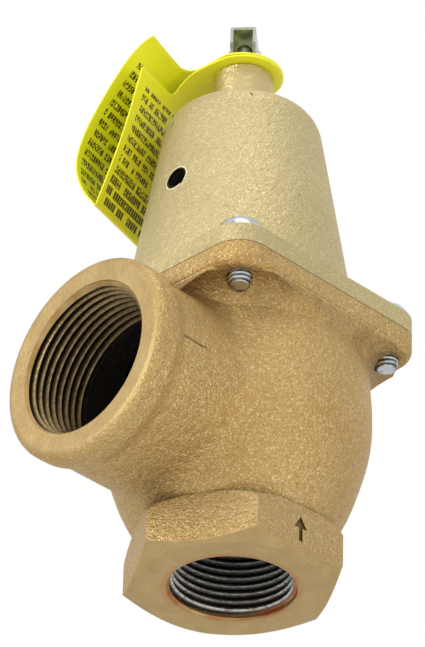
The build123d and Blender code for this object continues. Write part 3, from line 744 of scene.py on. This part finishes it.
def screw_threads(material):
    """Machine-screw thread on the four tips that come out under the flange."""
    start = SCREW_TIP_Z + SCREW_THREAD_START

    def surface(z, height):
        run_in = SCREW_ROOT_R + 0.05 * MM + (z - start) * SCREW_RUN_IN_SLOPE
        return min(SCREW_ROOT_R + 0.02 * MM + height * SCREW_THREAD_HEIGHT, run_in)

    for number, (x, y) in enumerate(((1, 1), (-1, 1), (-1, -1), (1, -1)), 1):
        place = Matrix.Translation((x * SCREW_OFFSET, y * SCREW_OFFSET, 0))
        sleeve = thread_sleeve(f"screw_thread_{number}", start, start + SCREW_THREAD_LENGTH, SCREW_PITCH,
                               SCREW_ROOT_R - 0.05 * MM, surface, place, material)
        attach(sleeve, "valve")


# ---- tag ----
def smooth_line(points):
    """Catmull-Rom curve through the points, as (positions, arc lengths)."""
    p = [2 * points[0] - points[1], *points, 2 * points[-1] - points[-2]]
    line = []
    for a, b, c, d in zip(p, p[1:], p[2:], p[3:]):
        for k in range(SPAN_STEPS):
            t = k / SPAN_STEPS
            line.append(0.5 * ((2 * b) + (c - a) * t + (2 * a - 5 * b + 4 * c - d) * t * t
                               + (3 * b - a - 3 * c + d) * t ** 3))
    line.append(p[-2])
    lengths = [0.0]
    for a, b in zip(line, line[1:]):
        lengths.append(lengths[-1] + (b - a).length)
    return line, lengths


def leaf_line(route, strap_z):
    """One leaf's bent line: up its route from the fold, then level over the neck."""
    points = [Vector((r * MM, z * MM)) for r, z in route]
    points += [Vector((r, strap_z)) for r in (STRAP_ROUTE_START, 0.0, -STRAP_TAIL)]
    return smooth_line(points)


def point_along(line, lengths, s):
    """Position and direction at an arc length."""
    s = min(max(s, 0.0), lengths[-1])
    i = min(max(bisect_left(lengths, s), 1), len(lengths) - 1)
    t = (s - lengths[i - 1]) / (lengths[i] - lengths[i - 1])
    return line[i - 1].lerp(line[i], t), (line[i] - line[i - 1]).normalized()


def rounded(corner, along_s, along_t, radius):
    """A rounded corner, from the edge along s to the edge along t, on the sides the signs say."""
    centre_s = corner[0] + along_s * radius
    centre_t = corner[1] + along_t * radius
    return [(centre_s - along_s * radius * math.sin(a), centre_t - along_t * radius * math.cos(a))
            for a in (math.pi / 2 * k / CORNER_STEPS for k in range(CORNER_STEPS + 1))]


def leaf_outline(sign, panel, strap):
    """Half of the flat outline. Its side follows the sign, so that both halves run the same way round."""
    shoulder = sign * panel
    hole_s = shoulder + sign * strap
    outline = [(0.0, sign * TAG_HALF_WIDTH)]
    outline += rounded((shoulder, sign * TAG_SHOULDER_HALF), -sign, -sign, TAG_CORNER_R)
    outline += reversed(rounded((shoulder, sign * STRAP_NECK_HALF), sign, sign, STRAP_FILLET_R))
    for k in range(STRAP_END_STEPS + 1):
        angle = math.radians(90 - 180 * k / STRAP_END_STEPS)
        outline.append((hole_s + sign * STRAP_HALF_WIDTH * math.cos(angle),
                        sign * STRAP_HALF_WIDTH * math.sin(angle)))
    outline += rounded((shoulder, -sign * STRAP_NECK_HALF), sign, -sign, STRAP_FILLET_R)
    outline += reversed(rounded((shoulder, -sign * TAG_SHOULDER_HALF), -sign, sign, TAG_CORNER_R))
    return outline


def strap_hole(sign, panel, strap):
    centre = sign * (panel + strap)
    angles = [2 * math.pi * k / HOLE_STEPS for k in range(HOLE_STEPS)]
    return [(centre + STRAP_HOLE_R * math.cos(a), STRAP_HOLE_R * math.sin(a)) for a in angles]


def flat_sheet(loops):
    """A filled flat mesh with holes, cut by a fine grid so that it can bend."""
    curve = bpy.data.curves.new("tag_flat", "CURVE")
    curve.dimensions = "2D"
    curve.fill_mode = "BOTH"
    for loop in loops:
        spline = curve.splines.new("POLY")
        spline.points.add(len(loop) - 1)
        for point, (s, t) in zip(spline.points, loop):
            point.co = (s, t, 0, 1)
        spline.use_cyclic_u = True
    holder = add_object("tag_flat", curve)
    bpy.context.view_layer.update()
    filled = holder.evaluated_get(bpy.context.evaluated_depsgraph_get())
    mesh = bmesh.new()
    mesh.from_mesh(bpy.data.meshes.new_from_object(filled))
    bpy.data.objects.remove(holder)
    low = min(vert.co.x for vert in mesh.verts)
    high = max(vert.co.x for vert in mesh.verts)
    for axis, start, end in ((0, low, high), (1, -TAG_SHOULDER_HALF, TAG_SHOULDER_HALF)):
        for k in range(1, int((end - start) / TAG_GRID) + 1):
            centre = [0, 0, 0]
            normal = [0, 0, 0]
            centre[axis] = start + k * TAG_GRID
            normal[axis] = 1
            geometry = list(mesh.verts) + list(mesh.edges) + list(mesh.faces)
            bmesh.ops.bisect_plane(mesh, geom=geometry, plane_co=centre, plane_no=normal, dist=1e-7)
    bmesh.ops.remove_doubles(mesh, verts=mesh.verts, dist=1e-6)
    return mesh


def instruction_tag(material):
    """One folded sheet with a leaf on each side of the fold. s runs along it and t across it."""
    inner_line = leaf_line(INNER_ROUTE, NECK_TOP + INNER_STRAP_ABOVE_NECK)
    outer_line = leaf_line(OUTER_ROUTE, NECK_TOP + OUTER_STRAP_ABOVE_NECK)
    inner_panel = inner_line[1][-1] - STRAP_TAIL - INNER_STRAP
    outer_panel = outer_line[1][-1] - STRAP_TAIL - OUTER_STRAP
    inner = (1, inner_panel, INNER_STRAP)
    outer = (-1, outer_panel, OUTER_STRAP)
    mesh = flat_sheet([leaf_outline(*inner) + leaf_outline(*outer), strap_hole(*inner), strap_hole(*outer)])
    layer = mesh.loops.layers.uv.new("flat")
    for face in mesh.faces:
        for loop in face.loops:
            loop[layer].uv = (loop.vert.co.y, loop.vert.co.x)
    for vert in mesh.verts:
        s, t = vert.co.x, vert.co.y
        at, along = point_along(*(inner_line if s >= 0 else outer_line), abs(s))
        edge_share = (t / TAG_HALF_WIDTH) ** 2
        if s >= 0:
            lift = -INNER_SAG * edge_share * math.sin(math.pi * min(s / inner_panel, 1.0))
        else:
            from_shoulder = (abs(s) - outer_panel) / OUTER_CURL_REACH
            lift = OUTER_CURL * edge_share * math.exp(-from_shoulder ** 2)
        vert.co = (at.x + along.y * lift, t, at.y - along.x * lift)
    made = bpy.data.meshes.new("instruction_tag_sheet")
    bmesh.ops.recalc_face_normals(mesh, faces=mesh.faces)
    mesh.to_mesh(made)
    mesh.free()
    sheet = add_object("instruction_tag_sheet", made)
    made.transform(Matrix.Rotation(TAG_AZIMUTH, 4, "Z"))
    smooth_faces(made)
    thick = sheet.modifiers.new("thickness", "SOLIDIFY")
    thick.thickness = TAG_THICK
    thick.offset = 0.0
    made.materials.append(material)
    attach(sheet, "tag")
    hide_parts("instruction_tag")


# ---- CAD nodes get their materials ----
def dress_cad_nodes(zinc):
    by_slot = {
        "bronze_body": cast_bronze(),
        "bronze_bonnet": blasted_bronze(),
        "zinc_screws": zinc,
        "rubber": rubber(),
        "spring_steel": turned_steel(),
        "brass_trim": turned_brass(),
        "stem_steel": turned_steel(),
        "plated_lever": lever_plate(),
    }
    for part in frame["record"]["subparts"]:
        material = by_slot.get(part["material_slot"])
        if material:
            obj = frame["nodes"][part["node"]]
            obj.data.materials.clear()
            obj.data.materials.append(material)


# ---- studio ----
CAMERA_LENS = 254.6
CAMERA_DISTANCE = 1.18950
CAMERA_PLACE = (134.851, -32.090)    # azimuth and elevation that the camera stands at
CAMERA_AIM = (135.231, -32.329)      # the same for the direction that it looks back along
CAMERA_ROLL = math.radians(1.583)
PIVOT = Vector((0, 0, 0.07304))
LIGHTS_AIM = Vector((0, 0, 0.08))
FLOOR_Z = -0.80
FLOOR_R = 4
FLOOR_SIDES = 64


def direction(azimuth, elevation):
    """Unit vector from the object towards a camera that looks along +Y at azimuth 0."""
    a, e = math.radians(azimuth), math.radians(elevation)
    return Vector((math.sin(a) * math.cos(e), -math.cos(a) * math.cos(e), math.sin(e)))


def camera():
    data = bpy.data.cameras.new("camera")
    data.lens = CAMERA_LENS
    data.sensor_width = 36.0
    data.clip_end = 50.0
    obj = add_object("camera", data)
    back = direction(*CAMERA_AIM)
    azimuth = math.radians(CAMERA_AIM[0])
    level_right = Vector((math.cos(azimuth), math.sin(azimuth), 0.0))
    level_up = back.cross(level_right)
    right = level_right * math.cos(CAMERA_ROLL) + level_up * math.sin(CAMERA_ROLL)
    up = level_up * math.cos(CAMERA_ROLL) - level_right * math.sin(CAMERA_ROLL)
    turn = Matrix((right, up, back)).transposed().to_4x4()
    obj.matrix_world = Matrix.Translation(PIVOT + direction(*CAMERA_PLACE) * CAMERA_DISTANCE) @ turn
    bpy.context.scene.camera = obj


def area_light(name, azimuth, elevation, distance, size, power):
    data = bpy.data.lights.new(name, "AREA")
    data.shape = "DISK"
    data.size = size
    data.energy = power
    obj = add_object(name, data)
    way = direction(azimuth, elevation)
    obj.location = LIGHTS_AIM + way * distance
    obj.rotation_mode = "QUATERNION"
    obj.rotation_quaternion = (-way).to_track_quat("-Z", "Y")


def add_floor():
    angles = [2 * math.pi * k / FLOOR_SIDES for k in range(FLOOR_SIDES)]
    mesh = bpy.data.meshes.new("floor")
    mesh.from_pydata([(math.cos(a) * FLOOR_R, math.sin(a) * FLOOR_R, FLOOR_Z) for a in angles], [],
                     [tuple(range(FLOOR_SIDES))])
    floor = add_object("floor", mesh)
    s = Shader("pale_floor")
    mesh.materials.append(s.finish(s.mix(s.noise(3.0), 0.80, 0.84), 0.9, 0.0))


def add_sky():
    """Grey light from all round, brighter above. The camera sees plain white in its place."""
    world = bpy.data.worlds.new("studio")
    bpy.context.scene.world = world
    world.use_nodes = True
    nodes, links = world.node_tree.nodes, world.node_tree.links
    place = nodes.new("ShaderNodeTexCoord")
    parts = nodes.new("ShaderNodeSeparateXYZ")
    links.new(place.outputs["Generated"], parts.inputs[0])
    height = nodes.new("ShaderNodeMapRange")
    height.inputs["From Min"].default_value = -1
    links.new(parts.outputs["Z"], height.inputs["Value"])
    ramp = nodes.new("ShaderNodeValToRGB")
    ramp.color_ramp.elements[0].position = 0.25
    ramp.color_ramp.elements[0].color = (0.50, 0.50, 0.50, 1)
    ramp.color_ramp.elements[1].position = 0.75
    ramp.color_ramp.elements[1].color = (0.95, 0.95, 0.95, 1)
    links.new(height.outputs["Result"], ramp.inputs["Fac"])
    grey = nodes["Background"]
    grey.inputs["Strength"].default_value = 0.90
    links.new(ramp.outputs["Color"], grey.inputs["Color"])
    white = nodes.new("ShaderNodeBackground")
    white.inputs["Color"].default_value = (1, 1, 1, 1)
    seen = nodes.new("ShaderNodeLightPath")
    mix = nodes.new("ShaderNodeMixShader")
    links.new(seen.outputs["Is Camera Ray"], mix.inputs["Fac"])
    links.new(grey.outputs[0], mix.inputs[1])
    links.new(white.outputs[0], mix.inputs[2])
    links.new(mix.outputs[0], nodes["World Output"].inputs["Surface"])


def studio():
    add_floor()
    add_sky()
    area_light("key", 85, 8, distance=1.6, size=0.9, power=13)
    area_light("fill", 190, -20, distance=1.8, size=1.2, power=8)
    area_light("top", 150, 70, distance=1.5, size=1.0, power=6)
    bpy.context.scene.view_settings.view_transform = "Standard"


zinc_plate = bright_zinc()
dress_cad_nodes(zinc_plate)
port_threads()
screw_threads(zinc_plate)
instruction_tag(tag_plastic())
camera()
studio()
